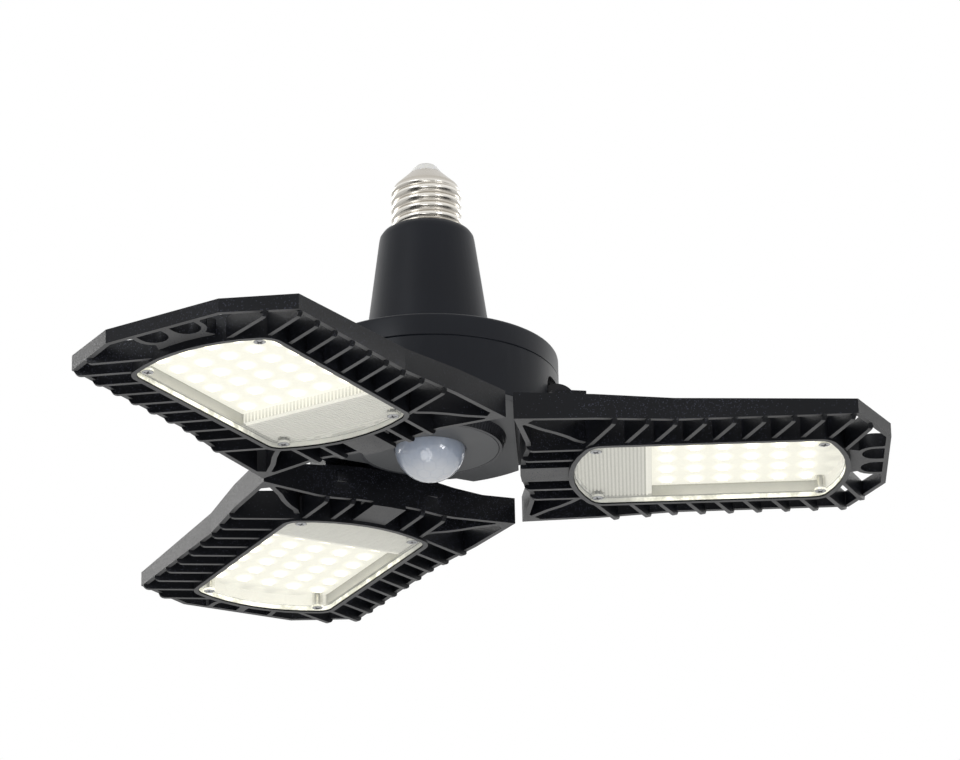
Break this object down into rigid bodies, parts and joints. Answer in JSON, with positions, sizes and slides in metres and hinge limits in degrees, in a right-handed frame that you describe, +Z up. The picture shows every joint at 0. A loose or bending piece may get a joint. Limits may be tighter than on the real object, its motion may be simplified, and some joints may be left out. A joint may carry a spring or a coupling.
{
  "type": "folding panel ceiling lamp",
  "caption": "Screw-base ceiling lamp with a round hub, a motion sensor dome and finned light panels that fold up on friction hinges.",
  "frame": {"origin": "on the lamp's axis, in the plane where the screw shell leaves the top of the neck", "axes": "+Z up along the screw base, away from the panels; +X along the first panel"},
  "size_m": [0.2808, 0.3098, 0.1253],
  "materials": {
    "shell_metal": "nickel-plated",
    "base_insulator": "glossy white",
    "contact_metal": "tinned",
    "hub_plastic": "satin black",
    "cover_plastic": "matt dark grey",
    "ring_plastic": "satin black",
    "dome_plastic": "milky",
    "can_metal": "bright",
    "sensor_board": "solder mask",
    "driver_board": "paper laminate",
    "casting_black": "black powder coat",
    "hinge_black": "gloss black",
    "fastener_steel": "zinc-plated",
    "lens_clear": "clear, smooth",
    "gasket_white": "matt",
    "reflector_white": "satin white",
    "light_board": "white solder mask",
    "led_chip": "lit"
  },
  "bodies": {
    "hub": {"screw_shell": "shell_metal", "base_insulator": "base_insulator", "centre_contact": "contact_metal", "neck_cap": "hub_plastic", "lower_housing": "hub_plastic", "housing_screws": "fastener_steel", "bottom_cover": "cover_plastic", "sensor_ring": "ring_plastic", "sensor_plate": "cover_plastic", "sensor_dome": "dome_plastic", "infrared_element": "can_metal", "sensor_board": "sensor_board", "driver_board": "driver_board"},
    "panel_1": {"heat_sink_1": "casting_black", "hinge_bracket_1": "hinge_black", "bracket_screws_1": "fastener_steel", "hinge_pin_1": "fastener_steel", "hinge_nut_1": "fastener_steel", "friction_washers_1": "fastener_steel", "lens_cover_1": "lens_clear", "lens_screws_1": "fastener_steel", "lens_gasket_1": "gasket_white", "reflector_1": "reflector_white", "led_board_1": "light_board", "leds_1": "led_chip"},
    "panel_2": {"heat_sink_2": "casting_black", "hinge_bracket_2": "hinge_black", "bracket_screws_2": "fastener_steel", "hinge_pin_2": "fastener_steel", "hinge_nut_2": "fastener_steel", "friction_washers_2": "fastener_steel", "lens_cover_2": "lens_clear", "lens_screws_2": "fastener_steel", "lens_gasket_2": "gasket_white", "reflector_2": "reflector_white", "led_board_2": "light_board", "leds_2": "led_chip"},
    "panel_3": {"heat_sink_3": "casting_black", "hinge_bracket_3": "hinge_black", "bracket_screws_3": "fastener_steel", "hinge_pin_3": "fastener_steel", "hinge_nut_3": "fastener_steel", "friction_washers_3": "fastener_steel", "lens_cover_3": "lens_clear", "lens_screws_3": "fastener_steel", "lens_gasket_3": "gasket_white", "reflector_3": "reflector_white", "led_board_3": "light_board", "leds_3": "led_chip"}
  },
  "joints": [
    {"name": "hinge_1", "type": "hinge", "parent": "hub", "child": "panel_1", "pos_m": [0.046, 0, -0.0745], "axis": [0, -1, 0], "range_deg": [0, 90]},
    {"name": "hinge_2", "type": "hinge", "parent": "hub", "child": "panel_2", "pos_m": [-0.023, 0.03984, -0.0745], "axis": [0.866, 0.5, 0], "range_deg": [0, 90]},
    {"name": "hinge_3", "type": "hinge", "parent": "hub", "child": "panel_3", "pos_m": [-0.023, -0.03984, -0.0745], "axis": [-0.866, 0.5, 0], "range_deg": [0, 90]}
  ]
}
